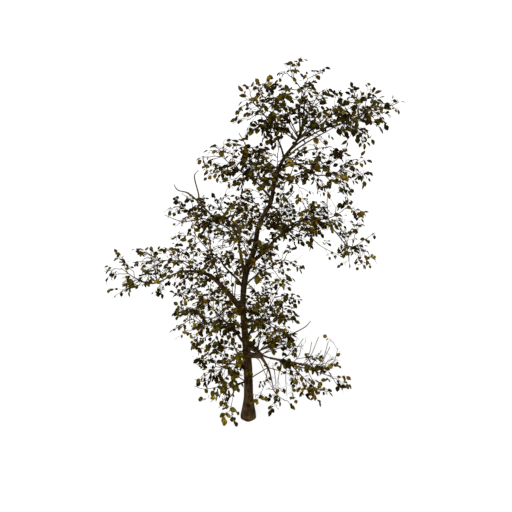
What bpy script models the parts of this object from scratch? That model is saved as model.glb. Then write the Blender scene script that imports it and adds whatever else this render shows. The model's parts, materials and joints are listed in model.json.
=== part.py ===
# An alder tree 7.5 m tall: a leaning trunk with a root flare, its main boughs, and the masses of
# foliage that the boughs carry. Metres, +Z up. The origin is in the middle of the flat cut under
# the trunk, at ground level. +X is to the right of the tree and +Y is behind it.

import math
import random
from collections import namedtuple

import bpy
import numpy as np
from mathutils import Vector
from mathutils.bvhtree import BVHTree

for old in list(bpy.data.objects):
    bpy.data.objects.remove(old)

# What lies face to face keeps this much air between
GAP = 0.0003
GOLDEN_ANGLE = math.pi * (3 - math.sqrt(5))

# The trunk's line: how far its middle stands to the side, and its radius, at a few heights.
# It sways to the back and front as well. Its rings stand closer near the ground, where the
# trunk swells into a few root lobes.
Station = namedtuple("Station", "height side radius")
TRUNK_LINE = [
    Station(0.00, 0.000, 0.113),
    Station(0.60, 0.008, 0.102),
    Station(1.50, -0.012, 0.092),
    Station(2.15, -0.058, 0.072),
    Station(2.95, -0.088, 0.061),
    Station(3.55, -0.024, 0.062),
    Station(4.10, 0.145, 0.053),
    Station(4.60, 0.235, 0.043),
    Station(5.00, 0.440, 0.037),
    Station(5.35, 0.500, 0.035),
    Station(5.80, 0.655, 0.031),
    Station(6.16, 0.905, 0.021),
    Station(6.70, 1.000, 0.012),
]
TRUNK_TOP = TRUNK_LINE[-1].height
TRUNK_SWAY = 0.05
TRUNK_SWAY_RATE = 1.1
TRUNK_SIDES = 12
TRUNK_STEPS = 30
TRUNK_STEP_GROWTH = 1.25
FLARE = 0.55
FLARE_HEIGHT = 0.34
ROOT_LOBES = 5
LOBE_DEPTH = 0.10

# The branches. Each is a bough and the mass of foliage that it carries. The bough leaves its parent
# at a place, a height on the trunk or a share of the way along another bough, and heads for the
# middle of its mass: so far to the side, to the back and up. The mass reaches so far along the
# bough's heading, across it and up. The last values are the bough's bow and its radius at each end.
# The branch at the top of the trunk has no bough, as the trunk's own tip carries it.
Branch = namedtuple("Branch", "name parent place side back height along across up bow foot tip")
BRANCHES = [
    Branch("low_right", "trunk", 1.93, 1.34, -0.80, 1.70, 0.68, 0.62, 0.44, -0.10, 0.052, 0.015),
    Branch("low_front", "trunk", 1.60, 0.62, -1.10, 1.42, 0.36, 0.36, 0.22, 0.20, 0.022, 0.011),
    Branch("low_left", "trunk", 1.58, -0.50, -0.85, 1.97, 0.50, 0.54, 0.50, 0.08, 0.032, 0.016),
    Branch("low_hanging", "trunk", 0.98, -0.48, -1.24, 1.35, 0.33, 0.26, 0.19, 0.06, 0.016, 0.009),
    Branch("low_back_left", "trunk", 1.85, -0.90, 0.78, 2.48, 0.76, 0.70, 0.58, 0.05, 0.034, 0.018),
    Branch("low_back_right", "trunk", 1.92, 0.47, 0.78, 2.44, 0.66, 0.66, 0.58, 0.05, 0.032, 0.018),
    Branch("front_left", "trunk", 2.25, -0.80, -0.46, 2.75, 0.70, 0.62, 0.52, 0.06, 0.026, 0.015),
    Branch("front_right", "trunk", 2.35, 0.35, -0.60, 2.84, 0.60, 0.58, 0.52, 0.06, 0.026, 0.015),
    Branch("left_arm", "trunk", 2.66, -2.06, -0.20, 3.65, 0.76, 0.64, 0.43, 0.52, 0.056, 0.026),
    Branch("left_riser", "left_arm", 0.32, -1.16, 0.05, 3.79, 0.62, 0.60, 0.48, 0.05, 0.020, 0.013),
    Branch("mid_right", "trunk", 3.25, 0.52, -0.30, 3.93, 0.56, 0.58, 0.40, 0.03, 0.022, 0.013),
    Branch("mid_back", "trunk", 3.00, -0.05, 1.10, 3.35, 0.62, 0.64, 0.50, 0.05, 0.028, 0.015),
    Branch("mid_back_left", "trunk", 3.20, -0.97, 1.00, 3.80, 0.62, 0.62, 0.48, 0.05, 0.026, 0.015),
    Branch("right_arm", "trunk", 3.62, 0.98, 0.22, 4.57, 0.60, 0.60, 0.44, 0.06, 0.044, 0.026),
    Branch("right_tip", "right_arm", 0.60, 1.70, 0.25, 4.72, 0.54, 0.54, 0.42, 0.16, 0.018, 0.012),
    Branch("right_droop", "right_arm", 0.80, 2.26, 0.80, 3.76, 0.40, 0.40, 0.52, 0.47, 0.018, 0.011),
    Branch("left_high", "trunk", 3.45, -0.36, 0.30, 4.71, 0.60, 0.60, 0.46, 0.20, 0.032, 0.016),
    Branch("left_high_end", "left_high", 0.70, -1.10, 0.35, 4.68, 0.43, 0.48, 0.34, 0.06, 0.015, 0.010),
    Branch("front_high", "trunk", 4.20, -0.05, -0.80, 4.60, 0.62, 0.62, 0.46, 0.05, 0.024, 0.014),
    Branch("back_high", "trunk", 4.20, 0.35, 1.10, 4.55, 0.62, 0.66, 0.48, 0.05, 0.024, 0.014),
    Branch("upper_left", "trunk", 5.04, -0.19, 0.10, 5.71, 0.64, 0.62, 0.45, 0.05, 0.024, 0.014),
    Branch("upper_right", "trunk", 5.56, 1.58, 0.00, 5.59, 0.63, 0.60, 0.41, 0.14, 0.024, 0.015),
    Branch("upper_front", "trunk", 5.20, 0.70, -0.65, 5.68, 0.52, 0.52, 0.40, 0.05, 0.020, 0.013),
    Branch("upper_back", "trunk", 4.92, 0.58, 0.85, 5.50, 0.60, 0.62, 0.48, 0.05, 0.020, 0.013),
    Branch("top_left", "trunk", 5.82, 0.34, -0.10, 6.69, 0.53, 0.54, 0.52, 0.05, 0.018, 0.012),
    Branch("top_centre", "trunk", TRUNK_TOP, 0.93, 0.08, 7.06, 0.46, 0.48, 0.52, 0.00, 0.016, 0.011),
    Branch("top_inner", "trunk", 6.10, 1.42, 0.30, 6.47, 0.58, 0.52, 0.53, 0.03, 0.014, 0.010),
    Branch("top_right", "trunk", 5.96, 1.93, -0.10, 6.60, 0.48, 0.52, 0.49, 0.08, 0.018, 0.012),
    Branch("top_right_end", "top_right", 0.60, 2.48, 0.10, 6.72, 0.34, 0.24, 0.20, 0.05, 0.012, 0.008),
]

# How every bough is shaped: it ends this share of the way from its mass's skin to the middle, it
# tapers by this power, it wanders by a share of its length, and its foot swells into a collar
BOUGH_ENTERS = 0.72
BOUGH_SIDES = 6
BOUGH_STEPS = 5
BOUGH_TAPER = 0.8
WANDER = 0.035
WANDER_WAVES = 1.5
COLLAR = 0.22
COLLAR_LENGTH = 3

# Where foliage may grow: so far from the next mass's space, and so far off every limb's bark
SPACE_MARGIN = 0.006
LIMB_CLEARANCE = 0.02
PULL_BACK = 0.1

# The stem of a mass goes straight on from its limb, then bends up and outwards. A twig leaves it
# a little below the level of its own tip, and is a share of the stem's thickness there.
STEM_SIDES = 4
STEM_STRAIGHT = 0.02
STEM_SHARES = (0.3, 0.65, 1.0)
STEM_BEND = 0.45
STEM_THINNER = 0.95
STEM_END_AHEAD = 0.42
STEM_END_LIFT = 0.25
STEM_END_RADIUS = 0.010
TWIG_COUNT = 8
TWIG_TRIES = 12
TWIG_TURN = 0.5
TWIG_REACH = 0.98
TWIG_LEAST_REACH = 0.4
TWIG_REACH_STEP = 0.04
TWIG_NOD = 0.25
TWIG_DROPS = (0.2, 0.5)
TWIG_LOWEST = 0.25
TWIG_HIGHEST = 0.95
TWIG_FOOT_SHARE = 0.5
TWIG_TIP_RADIUS = 0.007
TWIG_DEPTH = 1.7

# The leaves, each of which stands for a spray of real ones. A leaf is a thin blade with a flat
# underside and a low ridge, and a twig runs out into the leaf on its tip.
LEAF_LENGTH = 0.38
LEAF_SHORTEST = 0.19
LEAF_SCATTER = (0.9, 1.08)
LEAF_SHARE = 0.7
LEAF_WIDTH = 0.62
LEAF_WIDEST = 0.40
LEAF_RIDGE = 0.04
LEAF_SUNK = 0.35
LEAF_TILT = 0.9
LEAF_TRIES = 10
SIDE_LEAF_PLACES = (0.42, 0.82)
SIDE_LEAF_SHIFT = 0.1
SIDE_LEAF_SPREAD = (math.radians(40), math.radians(85))
CONE_PLACE = 0.62
CONE_LENGTH = 0.08
CONE_WIDTH = 0.05

BARK_COLOUR = (0.075, 0.062, 0.048)
BARK_ROUGHNESS = 0.9
LEAF_COLOUR = (0.085, 0.080, 0.022)
LEAF_ROUGHNESS = 0.6
ROUND_BELOW = math.radians(60)


def unit(vector):
    """The vector at a length of one."""
    return vector / np.linalg.norm(vector)


def smooth_value(stations, height, field):
    """A station's value at any height, on a smooth curve through the stations."""
    heights = [station.height for station in stations]
    values = [getattr(station, field) for station in stations]
    slopes = np.gradient(values, heights)
    k = min(max(int(np.searchsorted(heights, height)) - 1, 0), len(heights) - 2)
    span = heights[k + 1] - heights[k]
    t = (height - heights[k]) / span
    start = (1 + 2 * t) * (1 - t) ** 2 * values[k] + t * (1 - t) ** 2 * span * slopes[k]
    end = t * t * (3 - 2 * t) * values[k + 1] + t * t * (t - 1) * span * slopes[k + 1]
    return start + end


def bend(start, control, end, t):
    """A point on the curve that leaves the start towards the control point."""
    return start * (1 - t) ** 2 + control * 2 * t * (1 - t) + end * t * t


class Limb:
    """A tapering limb: the points of its middle line and the radius at each of them."""

    def __init__(self, points, radii):
        self.points = np.array(points)
        self.radii = np.array(radii)

    def at(self, share):
        """The point and the radius at a share of the way along."""
        place = share * (len(self.points) - 1)
        k = min(int(place), len(self.points) - 2)
        part = place - k
        point = self.points[k] * (1 - part) + self.points[k + 1] * part
        return point, self.radii[k] * (1 - part) + self.radii[k + 1] * part

    def end_direction(self):
        """The way that the limb points at its tip."""
        return unit(self.points[-1] - self.points[-2])


def trunk_point(height):
    """The middle of the trunk at a height."""
    side = smooth_value(TRUNK_LINE, height, "side")
    return np.array((side, TRUNK_SWAY * math.sin(TRUNK_SWAY_RATE * height), height))


def trunk_limb():
    """The trunk from the ground to its tip. Its first step is upright, so that its foot is level."""
    heights = [TRUNK_TOP * (k / TRUNK_STEPS) ** TRUNK_STEP_GROWTH for k in range(TRUNK_STEPS + 1)]
    points = [trunk_point(height) for height in heights]
    points[1][:2] = points[0][:2]
    return Limb(points, [smooth_value(TRUNK_LINE, height, "radius") for height in heights])


class Space:
    """The space of one mass: an egg shape, cut off from its neighbours where their sizes meet."""

    def __init__(self, branch):
        self.centre = np.array((branch.side, branch.back, branch.height))
        out = self.centre - trunk_point(min(branch.height, TRUNK_TOP))
        out[2] = 0
        self.axes = np.array((unit(out), np.cross((0, 0, 1), unit(out)), (0, 0, 1)))
        self.radii = np.array((branch.along, branch.across, branch.up))
        self.walls = []

    def radius_towards(self, direction):
        """How far the egg shape reaches from its centre in one direction."""
        return 1 / np.linalg.norm(self.axes @ direction / self.radii)

    def wall_off(self, other):
        """Cut this space off from another, at the place that their two sizes share out."""
        between = other.centre - self.centre
        distance = np.linalg.norm(between)
        direction = between / distance
        own = self.radius_towards(direction)
        share = own / (own + other.radius_towards(direction))
        self.walls.append((direction, direction @ self.centre + distance * share - SPACE_MARGIN))

    def holds(self, point):
        """Whether a point lies in this space."""
        if np.linalg.norm(self.axes @ (point - self.centre) / self.radii) > 1:
            return False
        return all(direction @ point < limit for direction, limit in self.walls)

    def pulled_in(self, point):
        """The point, moved towards the centre until this space holds it."""
        while not self.holds(point):
            point = point + (self.centre - point) * PULL_BACK
        return point


def bough_limb(branch, foot, space, seed):
    """One bough: from its foot to where it enters its mass, bowed upwards and wandering a little."""
    way = unit(space.centre - foot)
    tip = space.pulled_in(space.centre - way * space.radius_towards(way) * BOUGH_ENTERS)
    length = np.linalg.norm(tip - foot)
    phase = random.Random(seed).uniform(0, 2 * math.pi)
    points = []
    radii = []
    for k in range(BOUGH_STEPS + 1):
        t = k / BOUGH_STEPS
        rise = np.array((0, 0, branch.bow * 4 * t * (1 - t)))
        wave = math.sin(math.pi * t) * math.sin(2 * math.pi * WANDER_WAVES * t + phase)
        points.append(foot + (tip - foot) * t + space.axes[1] * WANDER * length * wave + rise)
        collar = 1 + COLLAR * math.exp(-t * length / (COLLAR_LENGTH * branch.foot))
        radii.append((branch.foot + (branch.tip - branch.foot) * t ** BOUGH_TAPER) * collar)
    return Limb(points, radii)


def mass_stem(space, limb):
    """The stem of a mass, on from the tip of its limb and up through the middle of its space."""
    way = limb.end_direction()
    start = limb.points[-1] + way * GAP
    ahead, _, up = space.radii * (STEM_END_AHEAD, 0, STEM_END_LIFT)
    end = space.pulled_in(space.centre + space.axes[0] * ahead + space.axes[2] * up)
    control = start + way * STEM_BEND * np.linalg.norm(end - start)
    foot = limb.radii[-1] * STEM_THINNER
    points = [start, start + way * STEM_STRAIGHT]
    points += [bend(start, control, end, share) for share in STEM_SHARES]
    radii = [foot, foot] + [foot + (STEM_END_RADIUS - foot) * share for share in STEM_SHARES]
    return Limb(points, radii)


def root_flare(height, angle):
    """How much the foot of the trunk swells into its root lobes."""
    fade = math.exp(-(height / FLARE_HEIGHT) ** 2)
    return 1 + FLARE * fade * (1 - LOBE_DEPTH * fade * math.cos(ROOT_LOBES * angle))


def tube_shape(limb, sides, extra=0.0, swell=None):
    """The corners and faces of a closed tapering tube along a limb, with flat ends."""
    points = limb.points
    ways = [unit(points[1] - points[0])]
    ways += [unit(points[k + 1] - points[k - 1]) for k in range(1, len(points) - 1)]
    ways.append(limb.end_direction())
    side = unit(np.cross(ways[0], (0.31, 0.95, 0.02)))
    corners = []
    for point, radius, way in zip(points, limb.radii, ways):
        side = unit(side - way * (side @ way))
        other = np.cross(way, side)
        for k in range(sides):
            angle = 2 * math.pi * k / sides
            reach = radius * (swell(point[2], angle) if swell else 1) + extra
            corners.append(point + (side * math.cos(angle) + other * math.sin(angle)) * reach)
    faces = [tuple(reversed(range(sides)))]
    for low in range(0, len(corners) - sides, sides):
        for k in range(sides):
            following = (k + 1) % sides
            faces.append((low + k, low + following, low + sides + following))
            faces.append((low + k, low + sides + following, low + sides + k))
    faces.append(tuple(range(len(corners) - sides, len(corners))))
    return corners, faces


def three_sided(points, halves, heights, side):
    """The corners and faces of a three-sided twig or blade along a line of points.

    The line runs through the middle of its section, which is so wide to each side and so high in
    all. Where its width is nothing it comes to a point.
    """
    corners = []
    rings = []
    for k, point in enumerate(points):
        way = unit(points[min(k + 1, len(points) - 1)] - points[max(k - 1, 0)])
        across = unit(side - way * (way @ side))
        ridge = np.cross(across, way) * heights[k]
        low = point - ridge / 3
        ring = [low - across * halves[k], low + across * halves[k], low + ridge]
        if halves[k] == 0:
            ring = [point]
        rings.append(range(len(corners), len(corners) + len(ring)))
        corners += ring
    faces = [tuple(rings[0])] if len(rings[0]) == 3 else []
    for low, high in zip(rings, rings[1:]):
        for a, b in ((0, 1), (1, 2), (2, 0)):
            if len(low) == 3:
                faces.append((low[b], low[a], high[a % len(high)]))
            if len(high) == 3:
                faces.append((high[a], high[b], low[b % len(low)]))
    return corners, faces


class Piece:
    """One closed shape before the shapes are joined. A twig keeps its line and how it lies."""

    def __init__(self, corners, faces, limb=None, across=None):
        self.corners = corners
        self.faces = faces
        self.limb = limb
        self.across = across
        self.tree = BVHTree.FromPolygons([Vector(corner) for corner in corners], faces)

    def crosses(self, others):
        """Whether this piece runs through any other piece."""
        return any(self.tree.overlap(other.tree) for other in others)

    def flats(self):
        """The ways that the three flats of a twig look: up to each side, and down."""
        way = self.limb.end_direction()
        across = unit(self.across - way * (way @ self.across))
        top = np.cross(across, way)
        slope = math.atan2(TWIG_DEPTH, 1)
        left = top * math.cos(slope) - across * math.sin(slope)
        right = top * math.cos(slope) + across * math.sin(slope)
        return [left, right, -top]


def bark_skin(limbs):
    """A skin a little way off the bark of every limb, which no leaf or twig may cross."""
    corners = []
    faces = []
    for limb in limbs:
        more_corners, more_faces = tube_shape(limb, BOUGH_SIDES, extra=LIMB_CLEARANCE)
        faces += [tuple(len(corners) + k for k in face) for face in more_faces]
        corners += more_corners
    return Piece(corners, faces)


def leaf_side(direction, rng):
    """The sideways direction of a leaf that points one way and lies more or less level."""
    tilt = np.array((rng.uniform(-LEAF_TILT, LEAF_TILT), rng.uniform(-LEAF_TILT, LEAF_TILT), 1.0))
    return unit(np.cross(direction, tilt))


def grow_twig(space, stem, way, rng):
    """One side twig: from the stem out to the skin of the space, with a leaf on its tip."""
    reach = TWIG_REACH
    tip = space.centre + reach * (way * space.radii) @ space.axes
    while reach > TWIG_LEAST_REACH and not space.holds(tip):
        reach -= TWIG_REACH_STEP
        tip = space.centre + reach * (way * space.radii) @ space.axes
    run = stem.points[-1] - stem.points[0]
    level = (tip - stem.points[0]) @ run / (run @ run) - rng.uniform(*TWIG_DROPS)
    start, stem_radius = stem.at(min(max(level, TWIG_LOWEST), TWIG_HIGHEST))
    distance = np.linalg.norm(tip - start)
    length = min(LEAF_LENGTH * rng.uniform(*LEAF_SCATTER), distance * LEAF_SHARE)
    if length < LEAF_SHORTEST:
        return None
    out = unit((tip - start) / distance - np.array((0, 0, TWIG_NOD)))
    end = tip - out * length
    points = [start, end, end + out * length * LEAF_WIDEST, tip]
    halves = [stem_radius * TWIG_FOOT_SHARE, TWIG_TIP_RADIUS, length * LEAF_WIDTH / 2, 0]
    heights = [halves[0] * TWIG_DEPTH, halves[1] * TWIG_DEPTH, length * LEAF_RIDGE, 0]
    across = leaf_side(out, rng)
    corners, faces = three_sided(points, halves, heights, across)
    if not all(space.holds(corner) for corner in corners[-4:]):
        return None
    return Piece(corners, faces, Limb(points[:2], halves[:2]), across)


def grow_leaf(space, joint, direction, length, rng):
    """One leaf, with its root in the twig or the stem."""
    points = [joint, joint + direction * length * LEAF_WIDEST, joint + direction * length]
    halves = [0, length * LEAF_WIDTH / 2, 0]
    heights = [0, length * LEAF_RIDGE, 0]
    corners, faces = three_sided(points, halves, heights, leaf_side(direction, rng))
    if not all(space.holds(corner) for corner in corners[-4:]):
        return None
    return Piece(corners, faces)


def twigs_of(space, bark, stem, rng):
    """The side twigs of a mass, spread evenly round its stem and turned where they don't fit."""
    turn = rng.uniform(0, 2 * math.pi)
    twigs = []
    for k in range(TWIG_COUNT):
        height = 1 - 2 * (k + 0.5) / TWIG_COUNT
        angle = turn + k * GOLDEN_ANGLE
        for _ in range(TWIG_TRIES):
            flat = math.sqrt(1 - height * height)
            way = np.array((flat * math.cos(angle), flat * math.sin(angle), height))
            twig = grow_twig(space, stem, way, rng)
            if twig and not twig.crosses(twigs + [bark]):
                twigs.append(twig)
                break
            angle += rng.uniform(-TWIG_TURN, TWIG_TURN)
            height += rng.uniform(-TWIG_TURN, TWIG_TURN) / 2
            height = min(max(height, -1 + 1 / TWIG_COUNT), 1 - 1 / TWIG_COUNT)
    return twigs


def end_leaf_of(space, stem, others, rng):
    """The leaf on the end of a stem, or nothing where none fits."""
    way = stem.end_direction()
    root = stem.points[-1] - way * stem.radii[-1]
    for attempt in range(LEAF_TRIES):
        length = LEAF_LENGTH - (LEAF_LENGTH - LEAF_SHORTEST) * attempt / LEAF_TRIES
        leaf = grow_leaf(space, root, way, length, rng)
        if leaf and not leaf.crosses(others):
            return leaf
    return None


def side_leaf_of(space, twig, place, others, rng):
    """A leaf that leaves one of a twig's flats, shorter at each try, or nothing where none fits."""
    way = twig.limb.end_direction()
    flats = twig.flats()
    rng.shuffle(flats)
    for attempt in range(LEAF_TRIES):
        spread = rng.uniform(*SIDE_LEAF_SPREAD)
        flat = flats[attempt % len(flats)]
        direction = unit(way * math.cos(spread) + flat * math.sin(spread))
        joint, half = twig.limb.at(place + rng.uniform(-SIDE_LEAF_SHIFT, SIDE_LEAF_SHIFT))
        length = LEAF_LENGTH - (LEAF_LENGTH - LEAF_SHORTEST) * attempt / LEAF_TRIES
        leaf = grow_leaf(space, joint - direction * half * LEAF_SUNK, direction, length, rng)
        if leaf and not leaf.crosses(others):
            return leaf
    return None


def leaves_of(space, bark, stem, twigs, rng):
    """The stem's end leaf and the leaves on the sides of the twigs, clear of all but their twig."""
    leaves = []
    end_leaf = end_leaf_of(space, stem.limb, twigs + [bark], rng)
    if end_leaf:
        leaves.append(end_leaf)
    for twig in twigs:
        others = [piece for piece in twigs if piece is not twig] + [stem, bark]
        for place in SIDE_LEAF_PLACES:
            leaf = side_leaf_of(space, twig, place, others + leaves, rng)
            if leaf:
                leaves.append(leaf)
    return leaves


def cones_of(twig):
    """A cluster of cones that hangs from a twig, as one drop shape."""
    joint = twig.limb.at(CONE_PLACE)[0]
    bottom = joint - np.array((0, 0, CONE_LENGTH))
    side = unit(np.cross(twig.limb.end_direction(), (0, 0, 1))) * CONE_WIDTH / 2
    front = np.cross(side, (0, 0, 1))
    rim = [(joint + bottom) / 2 + spoke for spoke in (side, front, -side, -front)]
    faces = [(0, 2 + k, 2 + (k + 1) % 4) for k in range(4)]
    faces += [(1, 2 + (k + 1) % 4, 2 + k) for k in range(4)]
    return Piece([joint, bottom] + rim, faces)


def mesh_object(name, corners, faces):
    """An object of its own from corners and faces, with the faces pointing out."""
    volume = 0
    for face in faces:
        for k in range(1, len(face) - 1):
            volume += np.dot(corners[face[0]], np.cross(corners[face[k]], corners[face[k + 1]]))
    if volume < 0:
        faces = [tuple(reversed(face)) for face in faces]
    mesh = bpy.data.meshes.new(name)
    mesh.from_pydata([tuple(corner) for corner in corners], [], faces)
    thing = bpy.data.objects.new(name, mesh)
    bpy.context.scene.collection.objects.link(thing)
    return thing


def apply_boolean(target, operation, cutter=None, collection=None):
    """Join a collection to an object, or cut another object from it, and keep the result."""
    boolean = target.modifiers.new(operation.lower(), "BOOLEAN")
    boolean.operation = operation
    if collection:
        boolean.operand_type = "COLLECTION"
        boolean.collection = collection
    else:
        boolean.object = cutter
    shapes = bpy.context.evaluated_depsgraph_get()
    result = bpy.data.meshes.new_from_object(target.evaluated_get(shapes))
    target.modifiers.clear()
    target.data = result


def keep_main_shell(thing):
    """Drop the loose scraps and fill the sealed hollows that a cut or a union can leave."""
    mesh = thing.data
    group = list(range(len(mesh.vertices)))

    def leader(k):
        while group[k] != k:
            group[k] = group[group[k]]
            k = group[k]
        return k

    for edge in mesh.edges:
        first, second = (leader(k) for k in edge.vertices)
        group[first] = second
    leaders = [leader(k) for k in range(len(group))]
    main = max(set(leaders), key=leaders.count)
    kept = [k for k, own in enumerate(leaders) if own == main]
    place = {k: number for number, k in enumerate(kept)}
    whole = [tuple(face.vertices) for face in mesh.polygons if face.vertices[0] in place]
    clean = bpy.data.meshes.new(thing.name)
    clean.from_pydata(
        [tuple(mesh.vertices[k].co) for k in kept],
        [],
        [tuple(place[k] for k in face) for face in whole],
    )
    thing.data = clean


def finish(thing, colour, roughness, smooth_below=None):
    """Give an object its material, and soft shading where it is round."""
    material = bpy.data.materials.new(thing.name)
    material.use_nodes = True
    surface = material.node_tree.nodes["Principled BSDF"]
    surface.inputs["Base Color"].default_value = (*colour, 1)
    surface.inputs["Roughness"].default_value = roughness
    surface.inputs["Metallic"].default_value = 0
    thing.data.materials.clear()
    thing.data.materials.append(material)
    if smooth_below:
        thing.data.shade_smooth()
        thing.data.set_sharp_from_angle(angle=smooth_below)


def make_trunk(limb):
    """The trunk, from the flat cut at the ground to its tip."""
    trunk = mesh_object("trunk", *tube_shape(limb, TRUNK_SIDES, swell=root_flare))
    finish(trunk, BARK_COLOUR, BARK_ROUGHNESS, ROUND_BELOW)


def make_bough(branch, limbs):
    """One bough, its foot cut to the bark of the limb that it grows from."""
    thing = mesh_object("bough_" + branch.name, *tube_shape(limbs[branch.name], BOUGH_SIDES))
    if branch.parent == "trunk":
        room = tube_shape(limbs["trunk"], TRUNK_SIDES, extra=GAP, swell=root_flare)
    else:
        room = tube_shape(limbs[branch.parent], BOUGH_SIDES, extra=GAP)
    cutter = mesh_object("room_for_parent", *room)
    apply_boolean(thing, "DIFFERENCE", cutter=cutter)
    bpy.data.objects.remove(cutter)
    keep_main_shell(thing)
    finish(thing, BARK_COLOUR, BARK_ROUGHNESS, ROUND_BELOW)


def make_mass(branch, space, limb, bark, seed):
    """One mass of foliage: its stem, with the twigs, the leaves and a cluster of cones fused on."""
    rng = random.Random(seed)
    stem_line = mass_stem(space, limb)
    stem = Piece(*tube_shape(stem_line, STEM_SIDES), stem_line)
    twigs = twigs_of(space, bark, stem_line, rng)
    leaves = leaves_of(space, bark, stem, twigs, rng)
    thing = mesh_object("leaves_" + branch.name, stem.corners, stem.faces)
    pile = bpy.data.collections.new("loose_pieces")
    bpy.context.scene.collection.children.link(pile)
    for piece in twigs + leaves + [cones_of(twigs[-1])]:
        loose = mesh_object("loose", piece.corners, piece.faces)
        bpy.context.scene.collection.objects.unlink(loose)
        pile.objects.link(loose)
    apply_boolean(thing, "UNION", collection=pile)
    for loose in list(pile.objects):
        bpy.data.objects.remove(loose)
    bpy.data.collections.remove(pile)
    keep_main_shell(thing)
    finish(thing, LEAF_COLOUR, LEAF_ROUGHNESS)


spaces = {branch.name: Space(branch) for branch in BRANCHES}
for space in spaces.values():
    for other in spaces.values():
        if other is not space:
            space.wall_off(other)

limbs = {"trunk": trunk_limb()}
for number, branch in enumerate(BRANCHES):
    if branch.place == TRUNK_TOP:
        limbs[branch.name] = limbs["trunk"]
        continue
    if branch.parent == "trunk":
        foot = trunk_point(branch.place)
    else:
        foot = limbs[branch.parent].at(branch.place)[0]
    limbs[branch.name] = bough_limb(branch, foot, spaces[branch.name], seed=100 + number)
bark = bark_skin(limbs.values())

make_trunk(limbs["trunk"])
for number, branch in enumerate(BRANCHES):
    if branch.place != TRUNK_TOP:
        make_bough(branch, limbs)
    make_mass(branch, spaces[branch.name], limbs[branch.name], bark, seed=500 + number)
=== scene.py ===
"""The looks of an alder tree 7.5 m tall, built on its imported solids. Metres, +Z up."""

import json
import math
import random
from collections import namedtuple

import bmesh
import bpy
import numpy as np
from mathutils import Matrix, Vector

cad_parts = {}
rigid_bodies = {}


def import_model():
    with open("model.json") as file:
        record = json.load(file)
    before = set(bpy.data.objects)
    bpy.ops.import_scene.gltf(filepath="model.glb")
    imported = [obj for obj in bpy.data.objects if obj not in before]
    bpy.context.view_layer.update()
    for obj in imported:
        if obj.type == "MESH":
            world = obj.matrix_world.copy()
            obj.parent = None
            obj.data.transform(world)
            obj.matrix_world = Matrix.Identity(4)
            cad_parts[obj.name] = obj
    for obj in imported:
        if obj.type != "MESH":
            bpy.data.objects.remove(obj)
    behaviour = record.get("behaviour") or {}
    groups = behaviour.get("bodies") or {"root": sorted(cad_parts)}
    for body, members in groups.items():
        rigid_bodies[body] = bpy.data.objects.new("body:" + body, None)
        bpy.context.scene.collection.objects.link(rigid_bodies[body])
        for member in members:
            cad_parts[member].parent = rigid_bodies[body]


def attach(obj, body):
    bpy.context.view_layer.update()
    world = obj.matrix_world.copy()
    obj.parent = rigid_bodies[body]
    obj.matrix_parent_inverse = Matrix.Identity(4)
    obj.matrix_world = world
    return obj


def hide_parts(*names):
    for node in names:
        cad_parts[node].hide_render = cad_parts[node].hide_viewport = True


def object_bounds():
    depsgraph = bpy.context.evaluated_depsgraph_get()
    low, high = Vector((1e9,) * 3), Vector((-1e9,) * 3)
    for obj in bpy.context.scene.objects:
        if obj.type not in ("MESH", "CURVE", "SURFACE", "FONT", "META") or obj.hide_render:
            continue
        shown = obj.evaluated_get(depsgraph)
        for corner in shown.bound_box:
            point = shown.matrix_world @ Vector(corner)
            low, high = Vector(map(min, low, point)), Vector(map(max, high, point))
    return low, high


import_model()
solid_low, solid_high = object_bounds()

# The studio: a plain pale floor, a soft white surround and one large soft lamp high on the left.
# The camera stands in front of the tree and looks down on it, as the photograph does.
CAMERA_PLACE = (0.17, -9.72, 8.44)
CAMERA_TILT = math.radians(65)
CAMERA_LENS = 35
CAMERA_SENSOR = 32
FLOOR_SIZE = 4000
FLOOR_COLOUR = (0.13, 0.13, 0.128, 1)
FLOOR_GLOW = 0.84
SURROUND_STRENGTH = 1.0
LAMP_STRENGTH = 4.2
LAMP_ANGLE = math.radians(40)
LAMP_TURN = (math.radians(42), math.radians(-30), 0)

camera_data = bpy.data.cameras.new("camera")
camera_data.lens = CAMERA_LENS
camera_data.sensor_width = CAMERA_SENSOR
camera = bpy.data.objects.new("camera", camera_data)
camera.location = CAMERA_PLACE
camera.rotation_euler = (CAMERA_TILT, 0, 0)
bpy.context.scene.collection.objects.link(camera)
bpy.context.scene.camera = camera
bpy.context.scene.view_settings.view_transform = "Standard"

bpy.ops.object.select_all(action="DESELECT")
bpy.ops.mesh.primitive_plane_add(size=FLOOR_SIZE)
floor = bpy.context.object
floor.name = "floor"
floor_paint = bpy.data.materials.new("pale_floor")
floor_paint.use_nodes = True
floor_surface = floor_paint.node_tree.nodes["Principled BSDF"]
floor_surface.inputs["Base Color"].default_value = FLOOR_COLOUR
floor_surface.inputs["Roughness"].default_value = 0.9
floor_surface.inputs["Specular IOR Level"].default_value = 0
floor_surface.inputs["Emission Color"].default_value = (1, 1, 1, 1)
floor_surface.inputs["Emission Strength"].default_value = FLOOR_GLOW
floor.data.materials.append(floor_paint)

surround = bpy.data.worlds.new("surround")
surround.use_nodes = True
surround.node_tree.nodes["Background"].inputs["Color"].default_value = (1, 1, 1, 1)
surround.node_tree.nodes["Background"].inputs["Strength"].default_value = SURROUND_STRENGTH
bpy.context.scene.world = surround

lamp_data = bpy.data.lights.new("soft_lamp", "SUN")
lamp_data.energy = LAMP_STRENGTH
lamp_data.angle = LAMP_ANGLE
lamp = bpy.data.objects.new("soft_lamp", lamp_data)
lamp.rotation_euler = LAMP_TURN
bpy.context.scene.collection.objects.link(lamp)

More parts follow.
